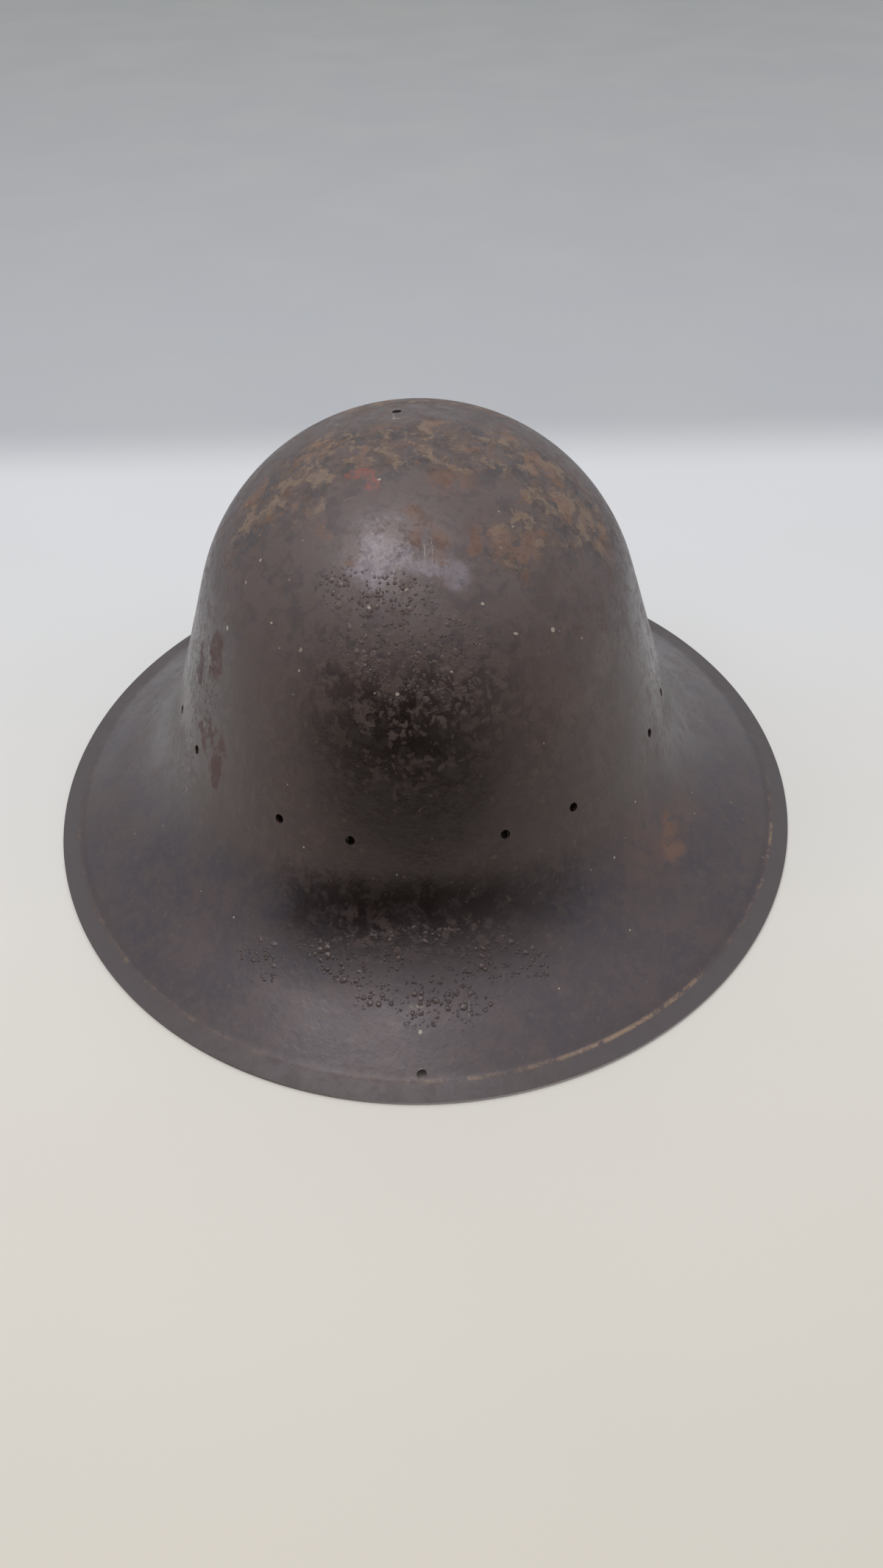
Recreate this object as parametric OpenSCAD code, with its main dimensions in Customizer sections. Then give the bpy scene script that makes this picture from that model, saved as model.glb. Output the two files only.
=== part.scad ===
/* [Shell] */
// Half of the brim's width, side to side
rim_half_w = 145; // [135:0.5:158]
// Length of the whole helmet over its width
oval = 1.09; // [1:0.005:1.14]
// Height of the crown above the table
shell_h = 150.4; // [146:0.2:158]
// Thickness of the pressed sheet
sheet_t = 1.1; // [0.8:0.05:1.4]
// Radius of the shallow crown, seen from the front
crown_r = 90; // [84:1:120]
// Radius of the domed shoulder below the crown
shoulder_r = 76; // [70:0.2:77]
// Half width of the bowl at the lacing holes
bowl_half_w = 90.5; // [88:0.1:94]
// Slope of the bowl's side, from the table
wall_angle = 72; // [70:0.5:74]

/* [Brim] */
// Radius of the hollow curve between bowl and brim
flare_r = 62; // [50:1:68]
// Slope of the brim, from the table
brim_angle = 29.7; // [27:0.1:31]
// Width of the flatter land outside the crease
land_w = 6.5; // [4:0.1:9]
// Slope of the land, from the table
land_angle = 10; // [8:0.5:14]
// Height of the trimmed edge that stands on the table
edge_h = 0.9; // [0.7:0.05:1]

/* [Holes] */
// Diameter of every punched hole
hole_d = 3.2; // [2.4:0.1:4]
// Height of the ring of lacing holes
lace_z = 55; // [53:0.5:58]
// Angle between the two holes of a pair
lace_spread = 15.4; // [14:0.1:17]
// Turn of the ring of lacing holes off the centre line
lace_turn = 1.2; // [-2:0.1:2]
// Crown hole, sideways from the centre line
crown_hole_x = -5.5; // [-9:0.1:9]
// Crown hole, back from the middle
crown_hole_y = 14.5; // [8:0.1:20]
// Brim hole, sideways from the centre line
brim_hole_x = -1.6; // [-5:0.1:5]
// Metal between the brim hole and the crease
brim_hole_edge = 0.8; // [0.5:0.1:3]

/* [Liner] */
// Height of the cradle's crown above the table
cradle_h = 120; // [112:0.5:126]
// Radius of the cradle's crown
cradle_crown_r = 110; // [100:1:140]
// Radius of the cradle's shoulder
cradle_shoulder_r = 60; // [54:0.5:64]
// Width of a cradle strap
tape_w = 20; // [14:0.5:21]
// Thickness of the cradle webbing
tape_t = 1.2; // [0.8:0.1:1.8]
// Radius at which the cradle straps end under the crown patch
tape_end_r = 26; // [26:0.5:30]
// Lower end of each cradle strap on the headband
tape_low_z = 31; // [28:0.5:40]
// Radius of the round crown patches
patch_r = 38; // [34:0.5:46]
// Thickness of a crown patch
patch_t = 1; // [0.6:0.1:1.6]

/* [Headband] */
// Lower edge of the headband
band_low_z = 24; // [23:0.5:28]
// Upper edge of the headband
band_top_z = 58; // [52:0.5:59.5]
// Thickness of the headband
band_t = 2; // [1.2:0.1:2.6]
// Upper edge of the sweatband
sweat_top_z = 52; // [44:0.5:56]
// Thickness of the sweatband
sweat_t = 1; // [0.6:0.1:1.6]
// Width of the patch that joins the headband's ends at the back
join_w = 28; // [20:1:34]

/* [Hanger loops] */
// Depth of a hanger loop, from cradle strap to shell
loop_depth = 4.4; // [3.6:0.1:5]
// Length of a hanger loop up the wall
loop_len = 16; // [10:0.5:20]
// Width of a hanger loop, between its two lacing holes
loop_w = 17; // [12:0.5:19]
// Thickness of the loop webbing
loop_t = 1; // [0.6:0.1:1.3]

/* [Chin strap] */
// Width of the chin strap
strap_w = 15; // [12:0.5:15.5]
// Thickness of the chin strap
strap_t = 1.4; // [1:0.1:1.8]
// Height of the rivets that the chin strap swings on
pivot_z = 10.2; // [10:0.1:12]
// Straight run from each rivet to the bend
arm_len = 38; // [36:0.5:40]
// Radius of the strap's bends
bend_r = 60; // [55:0.5:62]
// Thickness of the anchor tabs
tab_t = 2; // [1.4:0.1:2.4]
// Width of the anchor tabs
tab_w = 18; // [16:0.5:22]
// Upper end of the anchor tabs on the headband
tab_top_z = 45; // [38:0.5:50]
// Radius of the rivet shank
rivet_r = 2; // [1.5:0.05:2.4]
// Radius of the rivet head
rivet_head_r = 4.2; // [3.6:0.1:5]
// Height of the rivet head
rivet_head_h = 1.4; // [1:0.1:2]
// Outer radius of the washer behind the tab
washer_r = 5; // [4:0.1:6]
// Thickness of the washer
washer_t = 0.8; // [0.5:0.1:1.2]
// Length of the strap's free tail beyond the keeper
tail_len = 16; // [14:0.5:24]

/* [Slide buckle] */
// Diameter of the buckle's wire
wire_d = 1.4; // [1.2:0.1:1.6]
// Distance between two bars of the buckle
bar_pitch = 7; // [6:0.5:7.5]
// Distance from rivet to the buckle's first bar
bar_y = 22; // [21:0.5:23]
// Length of the keeper along the strap
keeper_len = 8; // [5:0.5:12]
// Thickness of the keeper
keeper_t = 1; // [0.6:0.1:1.2]
// Length of the metal tip on the tail
tip_len = 9; // [6:0.5:12]
// Thickness of the tip's sheet
tip_t = 0.4; // [0.3:0.05:0.5]

/* [Clearances] */
// Hanger loops to the inside of the shell
wall_gap = 0.3; // [0.2:0.05:0.6]
// Between two sewn layers
sewn_gap = 0.05; // [0.02:0.01:0.1]
// Chin strap to its tab and rivet head
swing_gap = 0.3; // [0.2:0.05:0.4]
// Radial clearance of the strap's hole on the rivet
rivet_fit = 0.06; // [0.03:0.01:0.1]
// Strap to the buckle's wire
wire_gap = 0.1; // [0.05:0.05:0.2]
// Keeper to the strap, on each side
keeper_gap = 0.3; // [0.2:0.05:0.5]

/* [Hidden] */
$fn = 96;
big = 400;
PAIRS = ["front_left", "side_front_left", "side_rear_left", "rear_left",
         "rear_right", "side_rear_right", "side_front_right", "front_right"];
lace_pairs = len(PAIRS);

// Colours of the materials
paint = [0.25, 0.20, 0.18];
leathercloth = [0.16, 0.13, 0.11];
tan_leather = [0.45, 0.31, 0.19];
webbing = [0.62, 0.57, 0.46];
steel = [0.52, 0.50, 0.47];

// A slope is an angle from the table, falling away from the middle
function down(slope) = [cos(slope), -sin(slope)];
function out(slope) = [sin(slope), cos(slope)];
function meet(p, sp, q, sq) = p + down(sp) * cross(q - p, down(sq)) / cross(down(sp), down(sq));
function at_z(p, slope, z) = [p.x + (p.y - z) / tan(slope), z];

// Centre of the shoulder arc that is tangent to the crown arc and to the side wall through p
function shoulder_centre(h, cr, sr, p) =
    let (crown_c = [0, h - cr], start = p - sr * out(wall_angle), q = start - crown_c)
    let (along = q * down(wall_angle), rest = q * q - pow(cr - sr, 2))
    start - down(wall_angle) * (along + sqrt(along * along - rest));

// Lines of the shell's outer face: wall, brim and land
wall_p = [bowl_half_w, lace_z];
rim_p = [rim_half_w, edge_h];
crease_p = rim_p - down(land_angle) * land_w / cos(land_angle);
corner_p = meet(wall_p, wall_angle, crease_p, brim_angle);
flare_start = corner_p - down(wall_angle) * flare_r * tan((wall_angle - brim_angle) / 2);
flare_c = flare_start + flare_r * out(wall_angle);

// The liner's own line, which is the outer face of its cradle straps
liner_p = wall_p - (sheet_t + wall_gap + loop_depth) * out(wall_angle);
band_in = tape_t + sewn_gap;
sweat_in = band_in + band_t + sewn_gap;

// Chin strap, measured from the headband's lower edge outwards
tab_x = at_z(liner_p - band_in * out(wall_angle), wall_angle, band_low_z).x;
strap_x = tab_x + tab_t + swing_gap + strap_t / 2;
layer_step = strap_t + wire_d + 2 * wire_gap;
bend_x = strap_x - bend_r;
bend_y = arm_len;
wire_x = strap_x - layer_step / 2;
bar_half = strap_w / 2 + 4 * wire_gap + wire_d / 2;
tail_x = -keeper_len / 2 - tail_len;

// Filled half section under a dome with a straight side, set in from its own face
module dome_fill(h, cr, sr, p, inset) {
    crown_c = [0, h - cr];
    c = shoulder_centre(h, cr, sr, p);
    intersection() {
        union() {
            intersection() {
                translate(crown_c) circle(cr - inset);
                polygon([crown_c, crown_c + [0, 2 * cr],
                         crown_c + 2 * cr * (c - crown_c) / norm(c - crown_c)]);
            }
            translate(c) circle(sr - inset);
            polygon([[0, 0], [0, c.y], c, c + (sr - inset) * out(wall_angle),
                     at_z(p - inset * out(wall_angle), wall_angle, 0)]);
        }
        square(big);
    }
}

// Filled half section under the shell: dome, hollow flare, brim and land
module shell_fill(inset) {
    reach = inset > 0 ? land_w : 0;
    wall_q = wall_p - inset * out(wall_angle);
    brim_q = crease_p - inset * out(brim_angle);
    rim_q = rim_p - inset * out(land_angle);
    crease_q = meet(brim_q, brim_angle, rim_q, land_angle);
    edge_q = meet(rim_q, land_angle, [rim_half_w + reach, 0], 90);
    difference() {
        union() {
            dome_fill(shell_h, crown_r, shoulder_r, wall_p, inset);
            polygon([[0, -big], [0, lace_z], at_z(wall_q, wall_angle, lace_z),
                     flare_c - (flare_r + inset) * out(wall_angle),
                     flare_c - (flare_r + inset) * out(brim_angle),
                     crease_q, edge_q, [edge_q.x, -big]]);
        }
        translate(flare_c) circle(flare_r + inset);
    }
}

// The sheet's section: one thickness between two faces, cut flat where it stands
module shell_section() {
    intersection() {
        difference() {
            shell_fill(0);
            shell_fill(sheet_t);
        }
        square([rim_half_w, shell_h + sheet_t]);
    }
}

// A round form made as long as the helmet is, in four quarter turns
module oval_turn() {
    for (quarter = [0 : 90 : 270])
        scale([1, oval, 1]) rotate([0, 0, quarter]) rotate_extrude(angle = 90) children();
}

// Place children on the oval form, square to it: turn from the front, radius, height and slope there
module on_form(turn, r, z, slope) {
    around = atan2(oval * sin(turn), cos(turn));
    normal = [sin(around), -cos(around) / oval, 1 / tan(slope)];
    translate([r * sin(around), -oval * r * cos(around), z])
        rotate([90 - atan2(normal.z, norm([normal.x, normal.y])), 0, atan2(normal.x, -normal.y)])
            children();
}

// A punched hole, straight through the sheet
module punch() {
    translate([0, 0, -3 * sheet_t]) cylinder(d = hole_d, h = 6 * sheet_t);
}

// The pairs of lacing holes are spread evenly and leave the front and the back clear
function pair_turn(i) = lace_turn - (i + 0.5) * 360 / lace_pairs;

module shell() {
    crown_hole_r = norm([crown_hole_x, crown_hole_y / oval]);
    crown_slope = asin(crown_hole_r / crown_r);
    crown_hole_z = shell_h - crown_r + crown_r * cos(crown_slope);
    brim_hole_r = crease_p.x - (hole_d / 2 + brim_hole_edge) * cos(brim_angle) / oval;
    color(paint) difference() {
        oval_turn() shell_section();
        for (i = [0 : lace_pairs - 1], side = [-0.5, 0.5])
            on_form(pair_turn(i) + side * lace_spread, wall_p.x, lace_z, wall_angle) punch();
        on_form(atan2(crown_hole_x, -crown_hole_y), crown_hole_r, crown_hole_z, crown_slope) punch();
        on_form(atan2(brim_hole_x, oval * brim_hole_r), brim_hole_r,
                crease_p.y + (crease_p.x - brim_hole_r) * tan(brim_angle), brim_angle) punch();
    }
}

// A layer of the liner, between two depths under the cradle straps' outer face
module liner_layer(from, to) {
    difference() {
        dome_fill(cradle_h, cradle_crown_r, cradle_shoulder_r, liner_p, from);
        dome_fill(cradle_h, cradle_crown_r, cradle_shoulder_r, liner_p, to);
    }
}

// Keep what lies between two heights
module between(low, high) {
    intersection() {
        children();
        translate([0, low]) square([big, high - low]);
    }
}

// An upright slot of one width that keeps a strip of the oval form, from a radius outwards
module strip(turn, width, from_r) {
    intersection() {
        children();
        rotate([0, 0, turn]) translate([-width / 2, -big, 0]) cube([width, big - from_r, big]);
    }
}

module headband() {
    color(leathercloth) oval_turn() between(band_low_z, band_top_z) liner_layer(band_in, band_in + band_t);
}

// Inner band of thin leather, turned out under the headband's lower edge
module sweatband() {
    color(tan_leather) oval_turn() {
        between(band_low_z - sewn_gap - sweat_t, sweat_top_z) liner_layer(sweat_in, sweat_in + sweat_t);
        between(band_low_z - sewn_gap - sweat_t, band_low_z - sewn_gap)
            liner_layer(band_in + band_t / 2, sweat_in + sweat_t);
    }
}

module headband_join_patch() {
    color(leathercloth) strip(180, join_w, 0)
        oval_turn() between(tape_low_z, band_top_z - 4) liner_layer(sewn_gap, band_in - sewn_gap);
}

// Round patches above and below the ends of the cradle straps
module crown_patch(from) {
    color(leathercloth) oval_turn() intersection() {
        liner_layer(from, from + patch_t);
        square([patch_r, big]);
    }
}
module crown_patch_top() crown_patch(-sewn_gap - patch_t);
module crown_patch_under() crown_patch(tape_t + sewn_gap);

// One webbing strap, sewn on outside the headband and drawn over to the crown patch
module cradle_strap(i) {
    color(webbing) strip(pair_turn(i), tape_w, tape_end_r)
        oval_turn() between(tape_low_z, big) liner_layer(0, tape_t);
}

// A flat closed loop of webbing: the lace runs through it from one hole of its pair to the other
module loop_section() {
    middle = liner_p + (sewn_gap + (loop_depth - sewn_gap) / 2) * out(wall_angle);
    translate(middle) rotate(-wall_angle) difference() {
        slot_2d(loop_len, loop_depth - sewn_gap);
        slot_2d(loop_len - 2 * loop_t, loop_depth - sewn_gap - 2 * loop_t);
    }
}
module slot_2d(length, width) {
    square([length - width, width], center = true);
    for (side = [-0.5, 0.5])
        translate([side * (length - width), 0]) circle(d = width);
}
module hanger_loop(i) {
    color(webbing) strip(pair_turn(i), loop_w, 0) oval_turn() loop_section();
}

// Leathercloth tab: sewn to the headband's side, with its round end hanging below for the rivet
module chin_tab() {
    color(leathercloth) difference() {
        union() {
            strip(90, tab_w, 0) oval_turn() between(band_low_z, tab_top_z)
                liner_layer(band_in - sewn_gap - tab_t, band_in - sewn_gap);
            translate([tab_x, -tab_w / 2, pivot_z]) cube([tab_t, tab_w, band_low_z + tab_t / 2 - pivot_z]);
            translate([tab_x, 0, pivot_z]) rotate([0, 90, 0]) cylinder(d = tab_w, h = tab_t);
        }
        rivet_hole();
    }
}
module rivet_hole() {
    translate([tab_x - big / 4, 0, pivot_z]) rotate([0, 90, 0])
        cylinder(r = rivet_r + rivet_fit, h = big / 2);
}
module chin_tab_right() chin_tab();
module chin_tab_left() mirror([1, 0, 0]) chin_tab();

// Solid rivet: low round head outside, shank, and a spread end over the washer
module chin_rivet() {
    head_x = strap_x + (strap_t + swing_gap) / 2;
    end_x = tab_x - washer_t - 2 * sewn_gap;
    head_ball = (pow(rivet_head_r, 2) + pow(rivet_head_h, 2)) / (2 * rivet_head_h);
    color(steel) translate([0, 0, pivot_z]) rotate([0, 90, 0]) rotate_extrude() {
        translate([0, end_x]) square([rivet_r, head_x - end_x + rivet_head_h / 2]);
        translate([0, end_x - washer_t]) square([rivet_r + washer_t, washer_t]);
        intersection() {
            translate([0, head_x + rivet_head_h - head_ball]) circle(head_ball);
            translate([0, head_x]) square([rivet_head_r, rivet_head_h]);
        }
    }
}
module chin_rivet_right() chin_rivet();
module chin_rivet_left() mirror([1, 0, 0]) chin_rivet();

module chin_washer() {
    color(steel) translate([tab_x - washer_t - sewn_gap, 0, pivot_z]) rotate([0, 90, 0]) difference() {
        cylinder(r = washer_r, h = washer_t);
        translate([0, 0, -washer_t]) cylinder(r = rivet_r + rivet_fit, h = 3 * washer_t);
    }
}
module chin_washer_right() chin_washer();
module chin_washer_left() mirror([1, 0, 0]) chin_washer();

// Flat tape standing on edge, from its outline in plan
module tape() {
    translate([0, 0, pivot_z - strap_w / 2]) linear_extrude(strap_w) children();
}
// Quarter bend of a tape, in the quadrant given by the signs
module bend(r, sx, sy) {
    intersection() {
        difference() {
            circle(r + strap_t / 2);
            circle(r - strap_t / 2);
        }
        scale([sx, sy]) square(r + strap_t);
    }
}
// Half turn of a tape round a bar, open to the front (way = 1) or to the back (way = -1)
module wrap(way) {
    intersection() {
        difference() {
            circle((layer_step + strap_t) / 2);
            circle((layer_step - strap_t) / 2);
        }
        translate([0, way * layer_step]) square(2 * layer_step, center = true);
    }
}
// Round end of a strap, with the hole that turns on the rivet
module rivet_end(x) {
    translate([x - strap_t / 2, 0, pivot_z]) rotate([0, 90, 0]) cylinder(d = strap_w, h = strap_t);
}

// Long strap: from the left rivet round the front, through the slide buckle and back inside itself
module chin_strap_long() {
    bar_b = bar_y + bar_pitch;
    front_y = -bend_y - bend_r;
    color(webbing) difference() {
        union() {
            rivet_end(-strap_x);
            tape() {
                translate([-strap_x - strap_t / 2, -bend_y]) square([strap_t, bend_y]);
                translate([-bend_x, -bend_y]) bend(bend_r, -1, -1);
                translate([-bend_x, front_y - strap_t / 2]) square([2 * bend_x, strap_t]);
                translate([bend_x, -bend_y]) bend(bend_r, 1, -1);
                translate([strap_x - strap_t / 2, -bend_y]) square([strap_t, bend_y - bar_b]);
                translate([wire_x, -bar_b]) wrap(1);
                translate([strap_x - layer_step - strap_t / 2, -bend_y])
                    square([strap_t, bend_y - bar_b]);
                translate([bend_x, -bend_y]) bend(bend_r - layer_step, 1, -1);
                translate([tail_x, front_y + layer_step - strap_t / 2]) square([bend_x - tail_x, strap_t]);
            }
        }
        rivet_hole_left();
    }
}
module rivet_hole_left() mirror([1, 0, 0]) rivet_hole();

// Short strap: from the right rivet round the buckle's first bar, turned back and sewn
module chin_strap_short() {
    color(webbing) difference() {
        union() {
            rivet_end(strap_x);
            tape() {
                translate([strap_x - strap_t / 2, -bar_y]) square([strap_t, bar_y]);
                translate([wire_x, -bar_y]) wrap(-1);
                translate([strap_x - layer_step - strap_t / 2, -bar_y])
                    square([strap_t, bar_y - tab_w / 2 - strap_t]);
            }
        }
        rivet_hole();
    }
}

// Wire slide with three bars between two rails, brazed at the corners
module slide_buckle() {
    color(steel) translate([wire_x, -bar_y, pivot_z]) {
        for (k = [0 : 2]) translate([0, -k * bar_pitch, -bar_half]) {
            cylinder(d = wire_d, h = 2 * bar_half);
            sphere(d = wire_d);
            translate([0, 0, 2 * bar_half]) sphere(d = wire_d);
        }
        for (side = [-1, 1]) translate([0, 0, side * bar_half])
            rotate([90, 0, 0]) cylinder(d = wire_d, h = 2 * bar_pitch);
    }
}

// Leather keeper round the strap and its tail, on the straight front run
module strap_keeper() {
    inner = [keeper_len, layer_step + strap_t + 2 * keeper_gap, strap_w + 2 * keeper_gap];
    outer = inner + [0, 2 * keeper_t, 2 * keeper_t];
    color(tan_leather) translate([0, -bend_y - bend_r + layer_step / 2, pivot_z]) difference() {
        cube(outer, center = true);
        cube(inner + [keeper_len, 0, 0], center = true);
    }
}

// Folded metal tip on the end of the tail
module strap_tip() {
    color(steel) translate([tail_x, -bend_y - bend_r + layer_step, pivot_z]) difference() {
        translate([-tip_t - sewn_gap, -strap_t / 2 - tip_t - sewn_gap, -strap_w / 2])
            cube([tip_len, strap_t + 2 * tip_t + 2 * sewn_gap, strap_w]);
        translate([-sewn_gap, -strap_t / 2 - sewn_gap, -strap_w])
            cube([tip_len, strap_t + 2 * sewn_gap, 2 * strap_w]);
    }
}

shell();
headband();
sweatband();
headband_join_patch();
crown_patch_top();
crown_patch_under();
for (i = [0 : len(PAIRS) - 1]) {
    cradle_strap(i);
    hanger_loop(i);
}
chin_tab_left();
chin_tab_right();
chin_rivet_left();
chin_rivet_right();
chin_washer_left();
chin_washer_right();
chin_strap_long();
chin_strap_short();
slide_buckle();
strap_keeper();
strap_tip();
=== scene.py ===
from math import asin, atan2, cos, hypot, pi, radians, sin, sqrt, tan
import bmesh
import bpy
from mathutils import Matrix, Vector


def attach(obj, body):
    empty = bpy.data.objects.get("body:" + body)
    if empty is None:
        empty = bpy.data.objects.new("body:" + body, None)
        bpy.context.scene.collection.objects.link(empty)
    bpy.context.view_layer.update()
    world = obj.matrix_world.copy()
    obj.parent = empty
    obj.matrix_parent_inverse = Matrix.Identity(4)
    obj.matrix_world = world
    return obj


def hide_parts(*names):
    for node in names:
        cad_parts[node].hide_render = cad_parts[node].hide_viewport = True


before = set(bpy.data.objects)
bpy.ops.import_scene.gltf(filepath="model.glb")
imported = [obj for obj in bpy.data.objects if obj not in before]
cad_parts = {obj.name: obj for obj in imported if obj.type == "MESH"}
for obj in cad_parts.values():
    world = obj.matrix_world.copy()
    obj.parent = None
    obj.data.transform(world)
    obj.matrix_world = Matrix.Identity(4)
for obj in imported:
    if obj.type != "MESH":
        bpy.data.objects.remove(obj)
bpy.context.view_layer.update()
scene = bpy.context.scene
scene.view_settings.view_transform = "Standard"

# ---- Camera ----
# A phone held in front of the helmet and above it, looking down 42 degrees at its front.
camera = bpy.data.objects.new("camera", bpy.data.cameras.new("camera"))
camera.data.lens = 27.03
camera.data.clip_end = 20
camera.matrix_world = (Matrix.Translation((0.00709, -0.36516, 0.32129))
                       @ Matrix.Rotation(radians(0.068), 4, "Z")
                       @ Matrix.Rotation(radians(90 - 41.982), 4, "X")
                       @ Matrix.Rotation(radians(-1.345), 4, "Z"))
scene.collection.objects.link(camera)
scene.camera = camera


# ---- Table ----
# A pale laminate table top, warm close by and cooler further back, that turns to a grey
# backdrop behind the helmet, painted darker further back as painted shade. Its underside lets light and the
# eye through.
def feed(socket, value):
    """Gives a socket its value, or links it to another node's output."""
    if isinstance(value, bpy.types.NodeSocket):
        socket.id_data.links.new(value, socket)
    else:
        socket.default_value = value


def put(kind, sockets=None, tree=None, **settings):
    """Adds a shader node. Its tree need not be given if an output is linked to one of its sockets."""
    sockets = sockets or {}
    for value in sockets.values():
        if isinstance(value, bpy.types.NodeSocket):
            tree = value.id_data
    node = tree.nodes.new("ShaderNode" + kind)
    for name, value in settings.items():
        setattr(node, name, value)
    for name, value in sockets.items():
        feed(node.inputs[name], value)
    return node


def blend_colour(amount, under, over):
    under, over = (colour if isinstance(colour, bpy.types.NodeSocket) else (*colour, 1)
                   for colour in (under, over))
    return put("Mix", {0: amount, 6: under, 7: over}, data_type="RGBA").outputs[2]


def reckon(operation, first, second=0.0, third=0.0, clamp=False):
    return put("Math", {0: first, 1: second, 2: third}, operation=operation, use_clamp=clamp).outputs[0]


def times(first, second, clamp=False):
    return reckon("MULTIPLY", first, second, clamp=clamp)


def vector_math(operation, *vectors):
    return put("VectorMath", dict(enumerate(vectors)), operation=operation).outputs[0]


def distance(vector):
    return put("VectorMath", {0: vector}, operation="LENGTH").outputs["Value"]


def noise(vector, scale, detail, rough=0.5):
    sockets = {"Vector": vector, "Scale": scale, "Detail": detail, "Roughness": rough}
    return put("TexNoise", sockets).outputs["Fac"]


def fade(value, low, high, start=0.0, end=1.0):
    """Goes smoothly from start to end while the value goes from low to high."""
    sockets = {"Value": value, "From Min": low, "From Max": high, "To Min": start, "To Max": end}
    return put("MapRange", sockets, interpolation_type="SMOOTHSTEP").outputs[0]


def new_material(name):
    """A material, its node tree, its shader and the object coordinates in it."""
    material = bpy.data.materials.new(name)
    material.use_nodes = True
    tree = material.node_tree
    return material, tree, tree.nodes["Principled BSDF"], put("TexCoord", tree=tree).outputs["Object"]


def new_object(name, bm):
    mesh = bpy.data.meshes.new(name)
    bm.to_mesh(mesh)
    bm.free()
    made = bpy.data.objects.new(name, mesh)
    scene.collection.objects.link(made)
    return made


OVAL = 1.09
TABLE_REACH, TABLE_Z = 6, -0.0003
table_bm = bmesh.new()
bmesh.ops.create_grid(table_bm, x_segments=2, y_segments=2, size=TABLE_REACH)
bmesh.ops.translate(table_bm, verts=table_bm.verts, vec=(0, 0, TABLE_Z))
table = new_object("table", table_bm)
table_top, tree, shader, coords = new_material("table_top")
where = put("SeparateXYZ", {"Vector": coords}).outputs
tone = put("ValToRGB", {"Fac": fade(where["Y"], -0.45, 0.28)})
tone.color_ramp.elements[0].color = (0.665, 0.610, 0.525, 1)
tone.color_ramp.elements[1].color = (0.72, 0.73, 0.75, 1)
tone.color_ramp.elements.new(0.5).color = (0.770, 0.740, 0.690, 1)
back = put("ValToRGB", {"Fac": times(where["Y"], 0.5)})
back.color_ramp.elements[0].position = 0.16
back.color_ramp.elements[0].color = (0.475, 0.485, 0.51, 1)
back.color_ramp.elements[1].color = (0.355, 0.365, 0.36, 1)
cloud = noise(coords, 9.0, 4.0)
colour = blend_colour(fade(where["Y"], 0.255, 0.335), tone.outputs[0], back.outputs[0])
colour = blend_colour(fade(cloud, 0.35, 0.75, 0.0, 0.10), colour, (0.62, 0.60, 0.53))
# Under the helmet the table is painted dark: painted shade where the shell covers it
middle = distance(vector_math("MULTIPLY", coords, (1, 1 / OVAL, 1)))
colour = blend_colour(fade(middle, 0.1425, 0.130), colour, (0.06, 0.055, 0.05))
# In front of the helmet the table is painted dark for reflections only: a painted reflection of a dark room
# for the shell to mirror
light_path = put("LightPath", tree=tree).outputs
aside = reckon("ABSOLUTE", reckon("ADD", where["X"], 0.12))
painted_dark_room = times(fade(where["Y"], -0.46, -0.74), fade(aside, 0.9, 0.5))
colour = blend_colour(times(painted_dark_room, light_path["Is Glossy Ray"]), colour, (0.02, 0.017, 0.015))
feed(shader.inputs["Base Color"], colour)
feed(shader.inputs["Roughness"], 0.6)
through = reckon("MAXIMUM", put("NewGeometry", tree=tree).outputs["Backfacing"], light_path["Is Shadow Ray"])
side = put("MixShader", {0: through, 1: shader.outputs[0], 2: put("BsdfTransparent", tree=tree).outputs[0]})
feed(tree.nodes["Material Output"].inputs["Surface"], side.outputs[0])
table.data.materials.append(table_top)


# ---- Light ----
# A white light tent: bright overhead, softer round the sides, with a dark opening low in
# front. One soft lamp hangs above, and one below the table shows the liner.
def times_plus(first, second, third):
    return reckon("MULTIPLY_ADD", first, second, third)


def facing(vector, direction):
    """How far the vector points along a direction."""
    return put("VectorMath", {0: vector, 1: direction}, operation="DOT_PRODUCT").outputs["Value"]


world = bpy.data.worlds.new("tent")
scene.world = world
world.use_nodes = True
tree = world.node_tree
way = put("TexCoord", tree=tree).outputs["Generated"]
high = put("SeparateXYZ", {"Vector": way}).outputs["Z"]
ahead = reckon("MAXIMUM", facing(way, (-0.19, -0.98, 0)), 0.01)
aside = reckon("DIVIDE", facing(way, (0.98, -0.19, 0)), ahead)
opening = times(fade(aside, -1.25, -0.85), fade(aside, 1.15, 0.80))
dim = times(fade(aside, -1.0, 0.3, 0.0, 0.55), fade(aside, 4.4, 2.4))
dark = times(reckon("MAXIMUM", opening, dim), fade(high, 0.66, 0.50))
glow = fade(high, 0.35, 0.95, 0.63, 1.00)
glow = times(glow, times_plus(dark, -0.97, 1.0))
glow = times(glow, fade(high, -0.02, 0.0))
seen = put("LightPath", tree=tree).outputs["Is Camera Ray"]
glow = times_plus(seen, reckon("SUBTRACT", 0.62, glow), glow)
feed(tree.nodes["Background"].inputs["Strength"], glow)
feed(tree.nodes["Background"].inputs["Color"], (0.97, 0.98, 1.0, 1))


def soft_lamp(name, size, power, place, aim):
    data = bpy.data.lights.new(name, "AREA")
    data.shape = "DISK"
    data.size = size
    data.energy = power
    lamp = bpy.data.objects.new(name, data)
    lamp.location = place
    lamp.rotation_euler = (Vector(aim) - Vector(place)).to_track_quat("-Z", "Y").to_euler()
    scene.collection.objects.link(lamp)


soft_lamp("lamp_above", 0.8, 4.3, (-0.25, -0.18, 1.3), (0, 0, 0.05))
soft_lamp("lamp_below", 0.9, 16, (0.2, -0.2, -0.9), (0, 0, 0))

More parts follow.
